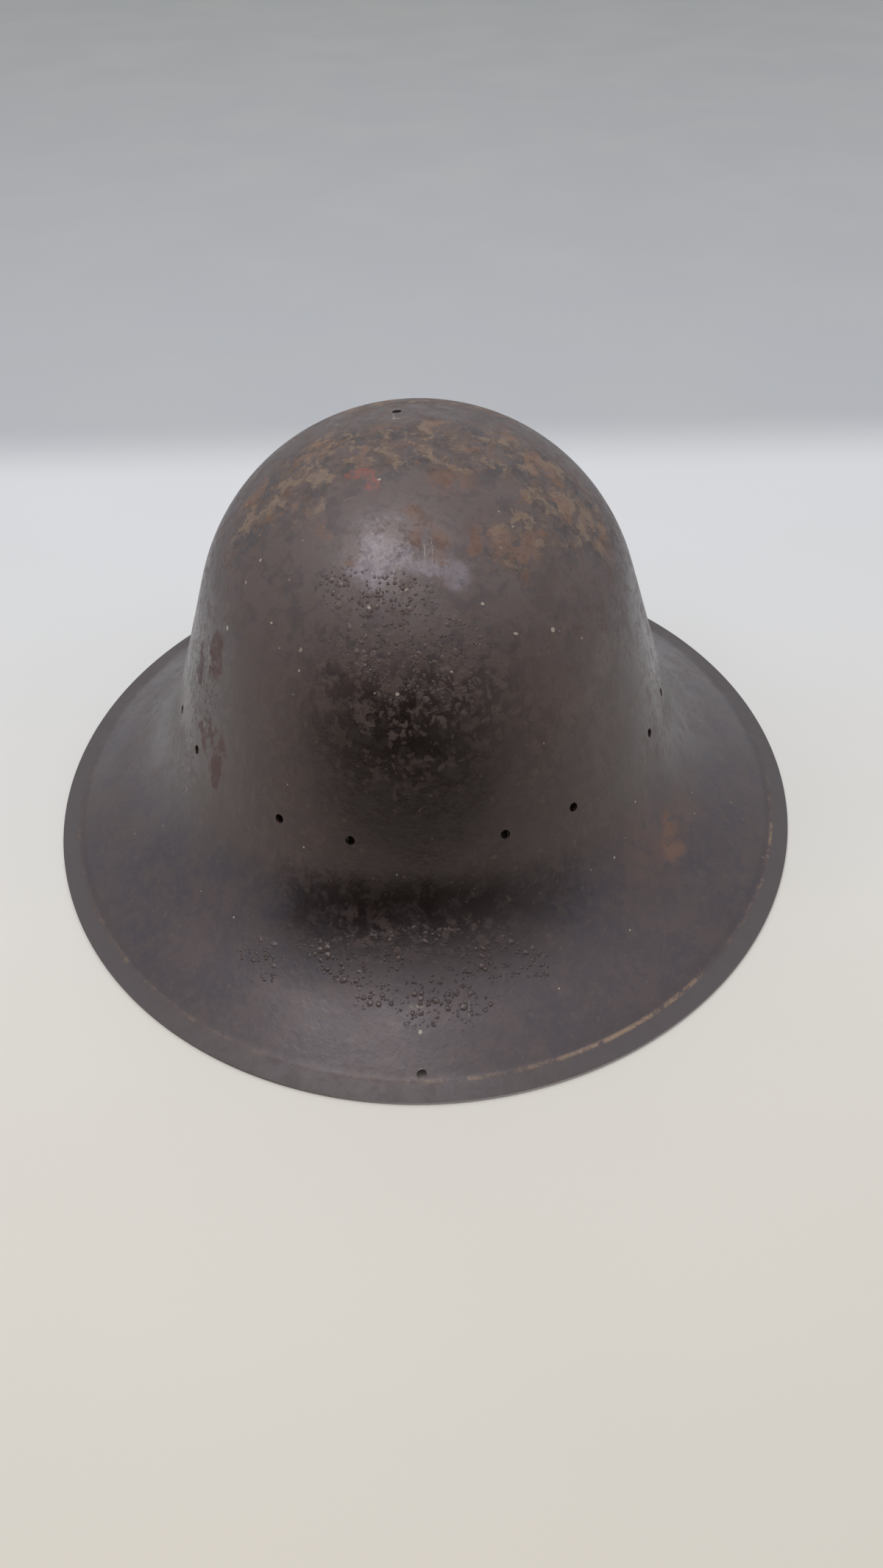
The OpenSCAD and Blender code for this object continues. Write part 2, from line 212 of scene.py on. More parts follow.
# ---- Shell ----
# One pressing of 1.1 mm steel: crown, straight side, hollow flare, brim, crease and land,
# with a raw trimmed edge and punched holes. Old dark paint with rust, pits and blisters.
SHEET = 0.0011
WALL_SLOPE, BRIM_SLOPE, LAND_SLOPE = radians(72), radians(29.7), radians(10)
CROWN_R, SHOULDER_R, FLARE_R = 0.090, 0.076, 0.062
LAND_W, CREASE_EASE = 0.0065, 0.0008
WALL_POINT = Vector((0.0905, 0, 0.055))
RIM_POINT = Vector((0.145, 0, 0.0009))
CROWN_CENTRE = Vector((0, 0, 0.1504 - CROWN_R))
HOLE_R, HOLE_PAIRS, HOLE_TURN, HOLE_SPREAD = 0.0016, 8, 1.2, 7.7
CROWN_HOLE_X, CROWN_HOLE_Y, BRIM_HOLE_X, BRIM_HOLE_IN = -0.0055, 0.0145, -0.0016, 0.0024


def outward(slope):
    return Vector((sin(slope), 0, cos(slope)))


def downward(slope):
    return Vector((cos(slope), 0, -sin(slope)))


def crossing(p, p_slope, q, q_slope):
    """Where two straight lines of the section meet."""
    a, b = downward(p_slope), downward(q_slope)
    apart = q - p
    return p + a * ((apart.x * b.z - apart.z * b.x) / (a.x * b.z - a.z * b.x))


def shoulder_centre(crown_centre, crown_r, shoulder_r, wall_point):
    start = wall_point - shoulder_r * outward(WALL_SLOPE)
    apart = start - crown_centre
    along = apart.dot(downward(WALL_SLOPE))
    rest = apart.dot(apart) - (crown_r - shoulder_r) ** 2
    return start - downward(WALL_SLOPE) * (along + sqrt(along * along - rest))


shoulder_mid = shoulder_centre(CROWN_CENTRE, CROWN_R, SHOULDER_R, WALL_POINT)
crease_point = RIM_POINT - downward(LAND_SLOPE) * LAND_W / cos(LAND_SLOPE)
corner = crossing(WALL_POINT, WALL_SLOPE, crease_point, BRIM_SLOPE)
flare_mid = (corner - downward(WALL_SLOPE) * FLARE_R * tan((WALL_SLOPE - BRIM_SLOPE) / 2)
             + FLARE_R * outward(WALL_SLOPE))


def shell_line(bm, inset):
    """Draws the section from the crown out to the rim, edge after edge. Returns its last point."""
    vert = bm.verts.new(CROWN_CENTRE + Vector((0, 0, CROWN_R - inset)))

    def arc(centre, angle, steps):
        nonlocal vert
        turned = bmesh.ops.spin(bm, geom=[vert], cent=centre, axis=(0, 1, 0), angle=angle, steps=steps)
        vert = [v for v in turned["geom_last"] if isinstance(v, bmesh.types.BMVert)][0]

    def line(end, steps):
        nonlocal vert
        start = vert.co.copy()
        for step in range(steps):
            nxt = bm.verts.new(start.lerp(end, (step + 1) / steps))
            bm.edges.new((vert, nxt))
            vert = nxt

    turn = asin(shoulder_mid.x / (CROWN_R - SHOULDER_R))
    arc(CROWN_CENTRE, turn, 14)
    arc(shoulder_mid, WALL_SLOPE - turn, 36)
    line(flare_mid - (FLARE_R + inset) * outward(WALL_SLOPE), 10)
    arc(flare_mid, BRIM_SLOPE - WALL_SLOPE, 24)
    brim = crossing(crease_point - inset * outward(BRIM_SLOPE), BRIM_SLOPE,
                    RIM_POINT - inset * outward(LAND_SLOPE), LAND_SLOPE)
    line(brim - downward(BRIM_SLOPE) * CREASE_EASE, 8)
    line(brim + downward(LAND_SLOPE) * CREASE_EASE, 3)
    return vert


def smooth_by_angle(mesh, angle):
    """Smooth faces, with the sharp edges kept sharp."""
    bm = bmesh.new()
    bm.from_mesh(mesh)
    for face in bm.faces:
        face.smooth = True
    for edge in bm.edges:
        edge.smooth = len(edge.link_faces) != 2 or edge.calc_face_angle() < angle
    bm.to_mesh(mesh)
    bm.free()


def new_piece(name, bm, body, slot_name, material, *nodes):
    """Makes an object of a bmesh, which stands for its CAD nodes and rides on their body."""
    piece = new_object(name, bm)
    piece.data.materials.append(material)
    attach(piece, body)
    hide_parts(*nodes)
    return piece


shell_bm = bmesh.new()
rim_out, rim_in = shell_line(shell_bm, 0), shell_line(shell_bm, SHEET)
edge_in = RIM_POINT - SHEET * outward(LAND_SLOPE)
foot_in = shell_bm.verts.new((edge_in.x + edge_in.z / tan(LAND_SLOPE), 0, 0))
corner_out = shell_bm.verts.new(RIM_POINT)
foot_out = shell_bm.verts.new((RIM_POINT.x, 0, 0))
for pair in ((rim_out, corner_out), (corner_out, foot_out), (foot_out, foot_in), (foot_in, rim_in)):
    shell_bm.edges.new(pair)
bmesh.ops.spin(shell_bm, geom=shell_bm.verts[:] + shell_bm.edges[:], cent=(0, 0, 0), axis=(0, 0, 1),
               angle=2 * pi, steps=256, use_merge=True)
bmesh.ops.remove_doubles(shell_bm, verts=shell_bm.verts, dist=2e-6)
bmesh.ops.scale(shell_bm, vec=(1, OVAL, 1), verts=shell_bm.verts)
bmesh.ops.recalc_face_normals(shell_bm, faces=shell_bm.faces)

punches = bmesh.new()


def punch(azimuth, radius, height, slope):
    """A round punch square to the oval surface, at an azimuth from the front."""
    around = atan2(OVAL * sin(azimuth), cos(azimuth))
    normal = Vector((sin(around), -cos(around) / OVAL, 1 / tan(slope))).normalized()
    spot = Vector((radius * sin(around), -OVAL * radius * cos(around), height))
    tilt = normal.to_track_quat("Z", "Y").to_matrix().to_4x4()
    bmesh.ops.create_cone(punches, cap_ends=True, segments=40, radius1=HOLE_R, radius2=HOLE_R, depth=0.008,
                          matrix=Matrix.Translation(spot) @ tilt)


def pair_turn(i, spread=0.0):
    """The azimuth of a pair of lacing holes, or of the hole that is spread degrees from its middle."""
    return radians(HOLE_TURN - (i + 0.5) * 360 / HOLE_PAIRS + spread)


for pair in range(HOLE_PAIRS):
    for spread in (-HOLE_SPREAD, HOLE_SPREAD):
        punch(pair_turn(pair, spread), WALL_POINT.x, WALL_POINT.z, WALL_SLOPE)
crown_hole_r = hypot(CROWN_HOLE_X, CROWN_HOLE_Y / OVAL)
crown_hole_slope = asin(crown_hole_r / CROWN_R)
punch(atan2(CROWN_HOLE_X, -CROWN_HOLE_Y), crown_hole_r,
      CROWN_CENTRE.z + CROWN_R * cos(crown_hole_slope), crown_hole_slope)
brim_hole_r = crease_point.x - BRIM_HOLE_IN * cos(BRIM_SLOPE) / OVAL
punch(atan2(BRIM_HOLE_X, OVAL * brim_hole_r), brim_hole_r,
      crease_point.z + (crease_point.x - brim_hole_r) * tan(BRIM_SLOPE), BRIM_SLOPE)
punch_set = new_object("punches", punches)

old_paint, tree, shader, coords = new_material("old_paint")
shell_piece = new_piece("steel_shell", shell_bm, "helmet", "old_paint", old_paint, "shell")
cut = shell_piece.modifiers.new("holes", "BOOLEAN")
cut.object = punch_set
cut.solver = "EXACT"
bpy.context.view_layer.update()
punched = bpy.data.meshes.new_from_object(shell_piece.evaluated_get(bpy.context.evaluated_depsgraph_get()))
shell_piece.modifiers.clear()
shell_piece.data = punched
bpy.data.objects.remove(punch_set)
smooth_by_angle(punched, radians(30))
outer = punched.attributes.new("outside", "FLOAT", "FACE")
for face in punched.polygons:
    outer.data[face.index].value = float(face.normal.dot(face.center - Vector((0, 0, -0.1))) > 0)


def new_group(name, outputs, **inputs):
    """A node group whose inputs start at the values given. Returns it with its two end nodes."""
    group = bpy.data.node_groups.new(name, "ShaderNodeTree")
    for socket, value in inputs.items():
        kind = "NodeSocketVector" if isinstance(value, tuple) else "NodeSocketFloat"
        group.interface.new_socket(name=socket, in_out="INPUT", socket_type=kind).default_value = value
    for socket in outputs:
        group.interface.new_socket(name=socket, in_out="OUTPUT", socket_type="NodeSocketFloat")
    return group, group.nodes.new("NodeGroupInput").outputs, group.nodes.new("NodeGroupOutput").inputs


def use(group, output, **values):
    return put("Group", values, node_tree=group).outputs[output]


# Cloudy patches: noise cut off between two levels, which a bias can shift from place to place
ORIGIN = (0.0, 0.0, 0.0)
blotches, given, result = new_group("blotches", ["Mask"], Vector=ORIGIN, Scale=50.0, Detail=6.0, Grain=0.6,
                                    Bias=0.0, Low=0.5, High=0.6)
cloud = noise(given["Vector"], given["Scale"], given["Detail"], given["Grain"])
lifted = reckon("ADD", cloud, given["Bias"])
feed(result["Mask"], fade(lifted, given["Low"], given["High"]))

# One soft-edged spot with a centre and a reach along each axis
spot, given, result = new_group("spot", ["Mask"], Vector=ORIGIN, Centre=ORIGIN, Reach=(0.01, 0.01, 0.01),
                                Weight=1.0)
apart = vector_math("DIVIDE", vector_math("SUBTRACT", given["Vector"], given["Centre"]), given["Reach"])
near = fade(distance(apart), 0.25, 1.0, 1.0, 0.0)
feed(result["Mask"], times(near, given["Weight"]))

# Scattered round grains, each a little dome; Share is how many of the places hold one
grains, given, result = new_group("grains", ["Mask", "Dome"], Vector=ORIGIN, Scale=300.0, Size=0.3,
                                  Share=0.3)
cells = put("TexVoronoi", {"Vector": given["Vector"], "Scale": given["Scale"]})
pick = put("SeparateColor", {"Color": cells.outputs["Color"]})
kept = reckon("LESS_THAN", pick.outputs[0], given["Share"])
size = times(given["Size"], times_plus(pick.outputs[1], 0.8, 0.4))
depth = reckon("SUBTRACT", 1.0, reckon("DIVIDE", cells.outputs["Distance"], size), clamp=True)
feed(result["Mask"], times(fade(depth, 0.0, 0.35), kept))
feed(result["Dome"], times(reckon("SQRT", depth), kept))


def zone(vector, *spots):
    """The sum of spots, each (x, y, z, reach, weight) in millimetres, reach one number or three."""
    total = 0.0
    for x, y, z, reach, weight in spots:
        reach = reach if isinstance(reach, tuple) else (reach, reach, reach)
        total = reckon("ADD", total, use(spot, "Mask", Vector=vector, Weight=weight,
                                         Centre=(x / 1000, y / 1000, z / 1000),
                                         Reach=tuple(r / 1000 for r in reach)))
    return total


def patches(vector, scale, low, high, detail=6.0, grain=0.6, bias=0.0):
    return use(blotches, "Mask", Vector=vector, Scale=scale, Low=low, High=high, Detail=detail,
               Grain=grain, Bias=bias)


def coat(finish, mask, share, colour, dull=0.0):
    """Lays a share of a colour over a finish, which is a colour and a roughness, and dulls it."""
    under, rough = finish
    over = blend_colour(times(mask, share), under, colour)
    return over, times_plus(mask, dull, rough) if dull else rough


def dress(shader, colour, rough, height):
    """Gives a shader its colour, its roughness, and a relief whose height is in metres."""
    relief = put("Bump", {"Strength": 1.0, "Distance": 1.0, "Height": height}).outputs["Normal"]
    for socket, value in (("Base Color", colour), ("Roughness", rough), ("Normal", relief)):
        feed(shader.inputs[socket], value)


def stirred(vector, scale, reach):
    """The vector pushed about by noise, so that what reads it gets ragged edges."""
    colour = put("TexNoise", {"Vector": vector, "Scale": scale, "Detail": 3.0}).outputs["Color"]
    push = vector_math("SUBTRACT", colour, (0.5, 0.5, 0.5))
    return vector_math("MULTIPLY_ADD", push, (reach, reach, reach), vector)


where = put("SeparateXYZ", {"Vector": coords}).outputs
ragged = stirred(coords, 70.0, 0.016)
frayed = stirred(coords, 300.0, 0.005)
worked = stirred(coords, 160.0, 0.0045)
nicked = stirred(coords, 420.0, 0.0012)
broken = stirred(coords, 620.0, 0.0011)
drawn = vector_math("MULTIPLY", coords, (1, 1, 0.12))
outside = put("Attribute", tree=tree, attribute_name="outside").outputs["Fac"]

# Old paint: brown and dull high on the crown, nearly black on the sides, and slate-blue on the brim,
# partly the paint and partly a painted bluish sheen of the tent above; with cloudy and streaky patches
upper = fade(where["Z"], 0.082, 0.122)
brim = fade(where["Z"], 0.050, 0.022)
cloudy = patches(coords, 32.0, 0.36, 0.66, 8.0, 0.65)
streak = patches(drawn, 330.0, 0.48, 0.72, 4.0)
paint = blend_colour(upper, (0.0190, 0.0092, 0.0084), (0.078, 0.057, 0.055))
# Slate-blue brim colour: partly paint, partly a painted bluish sheen
paint = blend_colour(brim, paint, (0.0220, 0.0200, 0.0300))
dull = times_plus(upper, 0.10, fade(cloudy, 0.0, 1.0, 0.24, 0.34))
finish = paint, times_plus(brim, 0.05, dull)
finish = coat(finish, cloudy, 0.36, (0.061, 0.036, 0.032))
finish = coat(finish, streak, 0.30, (0.085, 0.056, 0.048))

# Age: a fine dark and brown patina and earthy clouds on the brim; and at the front, a painted dark
# reflection of the tent's dark opening
aged = times_plus(brim, -0.14, times_plus(upper, 0.22, 0.28))
dusk = patches(worked, 140.0, 0.48, 0.56, 8.0, 0.70)
patina = patches(worked, 210.0, 0.50, 0.57, 8.0, 0.72)
finish = coat(finish, times(dusk, aged), 1.0, (0.020, 0.0165, 0.0180))
finish = coat(finish, times(patina, aged), 1.0, (0.098, 0.068, 0.056), 0.45)
earthen = zone(ragged, (52, -58, 98, (42, 40, 46), 1.8), (-44, -64, 96, (26, 30, 34), 0.7))
earthen = reckon("MAXIMUM", brim, earthen)
earthen = times(patches(worked, 70.0, 0.47, 0.57, 9.0, 0.74), earthen)
finish = coat(finish, earthen, 0.45, (0.064, 0.043, 0.037))
# Painted dark reflection of the tent's dark opening, on the front of the dome, the flare and the brim
painted_dark_reflection = zone(
    ragged, (-4, -88, 80, (46, 44, 40), 1.2), (-4, -112, 31, (84, 36, 24), 1.0),
    (10, -98, 56, (68, 46, 38), 0.50), (0, -144, 7, (52, 16, 11), 0.14))
finish = coat(finish, painted_dark_reflection, 0.90, (0.0074, 0.0027, 0.0024))

# Brown matt mottles that break up the shine on the sides and the flare
mottled = zone(
    ragged, (-4, -76, 108, (48, 40, 26), 1.0), (-6, -88, 86, (42, 34, 26), 0.55),
    (32, -72, 104, (34, 32, 30), 0.8), (-4, -114, 27, (58, 24, 10), 0.70),
    (-50, -60, 90, (30, 40, 40), 0.30), (56, -54, 98, (32, 40, 40), 0.70), (10, 86, 92, (60, 40, 44), 0.8),
    (-86, 10, 60, (30, 50, 40), 0.5), (-20, 122, 24, (60, 24, 16), 0.7))
dots = use(grains, "Mask", Vector=stirred(coords, 190.0, 0.008), Scale=330.0, Size=0.50, Share=0.45)
mottle = patches(worked, 190.0, 0.52, 0.60, 7.0, 0.7)
mottle = reckon("MAXIMUM", times(dots, 0.8), times(mottle, 0.7))
mottle = times(mottle, mottled, clamp=True)
finish = coat(finish, mottle, 1.0, (0.068, 0.044, 0.036), 0.22)

# Brown, slate and orange blooms over the top of the crown
bloom = zone(
    ragged, (-40, -14, 140, 30, 1.0), (-58, -24, 122, (20, 24, 22), 0.6),
    (-10, -10, 149, (42, 26, 16), 1.0), (26, -10, 147, (32, 28, 20), 1.0),
    (48, -20, 134, (26, 34, 28), 1.0), (60, -16, 114, (20, 32, 26), 0.6),
    (46, -56, 106, (22, 26, 26), 0.45), (30, -46, 130, (17, 22, 22), 0.8),
    (-30, -38, 138, (14, 12, 12), 0.5), (0, 45, 138, (75, 45, 42), 1.0))
bloom = fade(bloom, 0.05, 0.9)
shift = times_plus(bloom, 0.09, -0.08)
flanks = zone(ragged, (-38, -18, 140, (24, 24, 20), 0.03), (46, -22, 136, (26, 30, 24), 0.03))
slate = patches(worked, 98.0, 0.49, 0.55, 9.0, 0.70, shift)
brown = patches(worked, 165.0, 0.49, 0.55, 9.0, 0.72, shift)
ochre = patches(worked, 135.0, 0.53, 0.60, 9.0, 0.74, reckon("ADD", shift, flanks))
tinge = patches(worked, 74.0, 0.53, 0.60, 8.0, 0.68, shift)
for mask, share, colour in ((slate, 0.85, (0.030, 0.027, 0.029)), (brown, 0.75, (0.104, 0.069, 0.051)),
                            (ochre, 0.75, (0.200, 0.136, 0.090)), (tinge, 0.60, (0.170, 0.086, 0.050))):
    finish = coat(finish, times(mask, bloom), share, colour)
rust = times(reckon("MAXIMUM", brown, ochre), bloom)
finish = finish[0], times_plus(rust, 0.18, finish[1])

# Orange rust where the paint has gone, dark brown stains at the sides, and pale flakes there
orange = zone(
    ragged, (11, -28, 146, (13, 9, 8), 0.9), (19.7, -47, 136, (4, 8, 9), 1.3), (0, -41, 142, 6, 0.8),
    (36, -52, 122, (6, 8, 14), 0.8), (88, -68, 22, 8, 0.9), (88, -60, 26, 6, 0.8), (76, -70, 24, 22, 0.40),
    (92, -50, 20, 16, 0.40), (50, 118, 22, 14, 0.6), (-100, 62, 18, 10, 0.8), (-40, -20, 139, 9, 0.5),
    (4, -48, 138.6, (9, 7, 6), 1.1), (7, -55, 134, (8, 6, 5), 1.0), (-27, -40, 136, (4, 4, 5), 0.9),
    (-21, -54, 132, (4, 4, 5), 1.0), (6, -60, 131, (5, 4, 4), 0.8), (-3, -41, 141.5, (5, 5, 5), 0.9))
bare = times(patches(worked, 170.0, 0.41, 0.53, 8.0, 0.72), orange, clamp=True)
finish = coat(finish, bare, 0.85, (0.135, 0.068, 0.042), 0.20)
stain = zone(
    ragged, (-70, -59, 62, (9, 9, 15), 1.2), (-75, -49, 66, (7, 7, 14), 1.2),
    (-68, -44, 93, (8, 8, 14), 1.0), (30, 88, 70, (12, 9, 26), 1.0), (-64, 96, 30, (16, 12, 9), 0.9),
    (-76, -34, 86, (7, 7, 18), 0.9), (-64, -60, 50, (8, 8, 8), 0.9))
stain = times(fade(stain, 0.2, 0.55), patches(worked, 130.0, 0.42, 0.48, 8.0, 0.7))
finish = coat(finish, stain, 0.9, (0.070, 0.036, 0.032), 0.36)
flaky = zone(
    ragged, (-72, -48, 78, (16, 26, 34), 1.0), (-84, -44, 44, (12, 30, 20), 0.8),
    (82, -24, 72, (14, 30, 30), 0.9), (66, -44, 100, (16, 22, 20), 0.5), (-66, -40, 108, (14, 22, 20), 0.5),
    (-40, 84, 84, (34, 24, 34), 0.8), (60, 100, 34, (40, 30, 20), 0.7))
flakes = times(patches(worked, 230.0, 0.53, 0.58, 7.0, 0.72), flaky, clamp=True)
finish = coat(finish, flakes, 0.55, (0.135, 0.108, 0.096))

# The paler, smoother patch of paint at the front of the crown, and a faint one at the front of the brim:
# partly paler paint and partly a painted highlight of the lamp above. With fine upright scratches
pale_paint_and_highlight = zone(
    ragged, (-11, -54, 133.5, (18, 14, 13), 1.2), (-12, -41, 141, (13, 9, 7), 0.4),
    (10, -57, 132, (13, 9, 8), 0.8), (-2, -129, 13, (26, 9, 8), 0.10))
torn = times(fade(pale_paint_and_highlight, 0.2, 1.0), 0.09)
torn = patches(frayed, 105.0, 0.46, 0.60, 9.0, 0.74, torn)
pale_paint_and_highlight = times(fade(pale_paint_and_highlight, 0.05, 0.7), torn)
# Painted highlight, partly paler paint: a pale violet coat where the lamp above is mirrored
finish = coat(finish, pale_paint_and_highlight, 0.8, (0.180, 0.157, 0.180), -0.05)
scratched = zone(
    nicked, (3.2, -53, 135.5, (0.2, 5, 4), 1), (5.6, -52.6, 135.8, (0.15, 7, 6), 1),
    (6.9, -56.4, 134, (0.15, 3, 3), 0.8), (1.4, -56.5, 134.4, (0.2, 3, 3), 0.8),
    (-20, -33, 142, (2.4, 0.3, 2), 0.8), (37, -36, 136, (0.2, 5, 5), 0.6),
    (-5.2, 7.4, 150.2, (2.2, 0.7, 2), 0.8), (-6.4, 8.8, 150, (0.5, 3.4, 2), 0.7),
    (14, -131, 12, (0.3, 5, 3), 0.7), (-3, -130, 13, (3, 0.8, 2), 0.6))
scratched = times(scratched, patches(coords, 700.0, 0.40, 0.52, 3.0), clamp=True)
finish = coat(finish, scratched, 0.75, (0.36, 0.31, 0.25))

# A fleck of red from an older coat
red = zone(frayed, (-17, -23.4, 146.5, (8.0, 3.2, 4), 1), (-13.0, -28.5, 145.9, (3.0, 5.4, 4), 1))
worn_red = fade(patches(coords, 420.0, 0.44, 0.56, 4.0), 0.0, 1.0, 0.3, 0.95)
finish = coat(finish, fade(red, 0.28, 0.45), worn_red, (0.185, 0.060, 0.045))

# Pale chips on the crown's front, specks of dirt, and fine brown freckles everywhere
chips = zone(nicked, *((x, y, z, reach, 1.0) for x, y, z, reach in (
    (-49.1, -38.7, 125, 0.8), (-54.4, -40.8, 118.3, 0.7), (-61.9, -45, 103.6, (0.9, 0.9, 1.4)),
    (-45.2, -57.1, 113.6, 0.7), (-35.8, -67.1, 110.1, (0.8, 0.8, 1.3)), (-36.6, -70.1, 104.4, 0.7),
    (-13.7, -65.4, 123.9, 0.9), (-2.3, -62.8, 128, 0.8), (30.5, -67.1, 114.3, (1.4, 0.7, 0.8)),
    (42.5, -61.3, 111.3, (1.0, 1.0, 1.3)), (44.5, -60.3, 110, 0.7), (20.5, -64, 123.2, 0.8),
    (10.7, -77.8, 108.3, 0.6), (-6, -81.1, 102.9, 0.9), (-1.9, -137.3, 9.2, 0.9), (-10.5, -27.5, 146, 0.8))))
specks = use(grains, "Mask", Vector=nicked, Scale=230.0, Size=0.09, Share=0.10)
freckles = use(grains, "Mask", Vector=frayed, Scale=360.0, Size=0.30, Share=0.22)
finish = coat(finish, fade(chips, 0.3, 0.55), 0.85, (0.38, 0.33, 0.27))
finish = coat(finish, specks, 0.8, (0.42, 0.36, 0.29))
finish = coat(finish, freckles, 0.40, (0.090, 0.058, 0.046))

# Wear along the crease, heaviest at the front on the right, with a painted highlight on its
# ridge and painted shade in its groove, and a duller land outside it, rubbed paler at the sides
rim_r = distance(vector_math("MULTIPLY", coords, (1, 1 / OVAL, 0)))
land = fade(rim_r, 0.1380, 0.1395)
rubbed = fade(reckon("ABSOLUTE", reckon("ADD", where["X"], 0.025)), 0.055, 0.125)
# Painted shade in the groove before the crease
painted_groove_shade = times(fade(rim_r, 0.1350, 0.1366), fade(rim_r, 0.1384, 0.1372))
# A paler line on the crease's ridge: partly wear, partly painted highlight
crease_wear_and_highlight = times(fade(rim_r, 0.1375, 0.1384), fade(rim_r, 0.1395, 0.1387))
worn_side = zone(
    coords, (66, -126, 2, (56, 34, 30), 1.0), (128, -60, 2, (30, 60, 30), 0.7),
    (20, -150, 2, (40, 30, 20), 0.4), (-90, -110, 2, (70, 60, 30), 0.2))
worn = patches(frayed, 140.0, 0.52, 0.66, 8.0, 0.78, times(worn_side, 0.12))
finish = coat(finish, land, 0.6, (0.034, 0.0265, 0.0255), 0.12)
finish = coat(finish, times(land, rubbed), 0.5, (0.062, 0.058, 0.062))
finish = coat(finish, painted_groove_shade, 0.22, (0.012, 0.0090, 0.0085), 0.06)
finish = coat(finish, crease_wear_and_highlight, 0.25, (0.075, 0.047, 0.036), 0.12)
finish = coat(finish, times(worn, crease_wear_and_highlight), times_plus(worn_side, 0.7, 0.2), (0.27, 0.18, 0.11))

# Blisters and pits in the metal: thick below the pale patch and on the front of the brim,
# finer on the dome than on the brim
ridged = zone(
    ragged, (-14, -62, 126, (26, 14, 11), 1.1), (-4, -72, 116, (34, 14, 14), 1.1),
    (4, -80, 104, (34, 12, 12), 0.6), (-6, -116, 22, (52, 15, 12), 1.2), (2, -130, 13, (38, 13, 9), 0.9),
    (-56, -112, 15, (12, 10, 8), 1.1), (-76, -38, 82, (14, 34, 34), 0.8), (90, 0, 60, (16, 44, 40), 0.8),
    (32, -118, 17, (18, 9, 8), 0.7), (26, 122, 20, (50, 16, 12), 1.0), (-18, 74, 116, (34, 18, 14), 0.9),
    (-112, 40, 14, (14, 34, 10), 0.9))
domed = fade(where["Z"], 0.03, 0.06)
ridged = times(patches(worked, 105.0, 0.45, 0.52, bias=times(domed, 0.06)), fade(ridged, 0.15, 0.8))
blister = use(grains, "Dome", Vector=broken, Scale=430.0, Size=0.50, Share=0.50)
small = use(grains, "Dome", Vector=broken, Scale=820.0, Size=0.48, Share=0.55)
finish = coat(finish, times(blister, ridged), 0.70, (0.105, 0.070, 0.058), 0.056)
lumps = times(blister, times_plus(domed, -0.45, 1.0))
lumps = times_plus(small, times_plus(domed, 0.4, 0.5), lumps)
fine, broad = noise(coords, 420.0, 6.0, 0.6), noise(coords, 22.0, 2.0)
height = 0.0
for bumps, rise in ((times(lumps, ridged), 0.00072), (fine, 0.00009), (broad, 0.0006),
                    (rust, 0.00006), (reckon("MAXIMUM", mottle, flakes), 0.00004)):
    height = times_plus(bumps, rise, height)

# The inside kept its paint better: even, dull and brown, with rust only in freckles
inner = blend_colour(cloudy, (0.030, 0.022, 0.019), (0.052, 0.036, 0.029))
inner = blend_colour(times(freckles, 0.6), inner, (0.110, 0.060, 0.036))
dress(shader, blend_colour(outside, inner, finish[0]), finish[1], height)
feed(shader.inputs["Specular Tint"], (1.0, 0.88, 0.89, 1))
feed(shader.inputs["Specular IOR Level"], 0.9)

# ---- Headband ----
# A band of leathercloth doubled over a stiffener, sewn along both edges. It is the outermost
# ring of the liner that touches the head, and carries the sweatband, cradle and chin tabs.
CRADLE_CROWN_R, CRADLE_SHOULDER_R = 0.110, 0.060
CRADLE_CROWN = Vector((0, 0, 0.120 - CRADLE_CROWN_R))
LOOP_GAP, LOOP_DEPTH = 0.0003, 0.0044
LINER_POINT = WALL_POINT - (SHEET + LOOP_GAP + LOOP_DEPTH) * outward(WALL_SLOPE)
STRAP_T, BAND_T, SWEAT_T, SEWN, THIN = 0.0012, 0.0020, 0.0010, 0.00005, 0.0002
BAND_MID = STRAP_T + SEWN + BAND_T / 2
BAND_LOW, BAND_TOP = 0.024, 0.058
cradle_shoulder = shoulder_centre(CRADLE_CROWN, CRADLE_CROWN_R, CRADLE_SHOULDER_R, LINER_POINT)
cradle_turn = asin(cradle_shoulder.x / (CRADLE_CROWN_R - CRADLE_SHOULDER_R))
crown_run = cradle_turn * CRADLE_CROWN_R
wall_run = crown_run + (WALL_SLOPE - cradle_turn) * CRADLE_SHOULDER_R


def liner_section(run, depth):
    """A point of the liner's section, by its way down from the crown and its depth inwards."""
    if run < crown_run:
        slope = run / CRADLE_CROWN_R
        spot = CRADLE_CROWN + (CRADLE_CROWN_R - depth) * outward(slope)
    elif run < wall_run:
        slope = cradle_turn + (run - crown_run) / CRADLE_SHOULDER_R
        spot = cradle_shoulder + (CRADLE_SHOULDER_R - depth) * outward(slope)
    else:
        spot = cradle_shoulder + (CRADLE_SHOULDER_R - depth) * outward(WALL_SLOPE)
        spot += (run - wall_run) * downward(WALL_SLOPE)
    return spot


def run_at(height, depth):
    """The way down the liner's straight side to a height."""
    return wall_run + (liner_section(wall_run, depth).z - height) / sin(WALL_SLOPE)


def on_oval(turn, side, radius, height):
    """The point of an oval ring on a line that runs out at an azimuth, a little to one side."""
    a = sin(turn) ** 2 + (cos(turn) / OVAL) ** 2
    b = 2 * side * sin(turn) * cos(turn) * (1 - 1 / OVAL ** 2)
    c = side ** 2 * (cos(turn) ** 2 + (sin(turn) / OVAL) ** 2) - radius ** 2
    out = (sqrt(b * b - 4 * a * c) - b) / (2 * a)
    return Vector((out * sin(turn) + side * cos(turn), side * sin(turn) - out * cos(turn), height))


def lay(bm, place):
    """Keeps a flat strip's points as its own UV in metres, and moves each to place(along, across)."""
    uv = bm.loops.layers.uv.new("cloth")
    for face in bm.faces:
        for loop in face.loops:
            loop[uv].uv = loop.vert.co.xy
    for vert in bm.verts:
        vert.co = place(vert.co.x, vert.co.y)


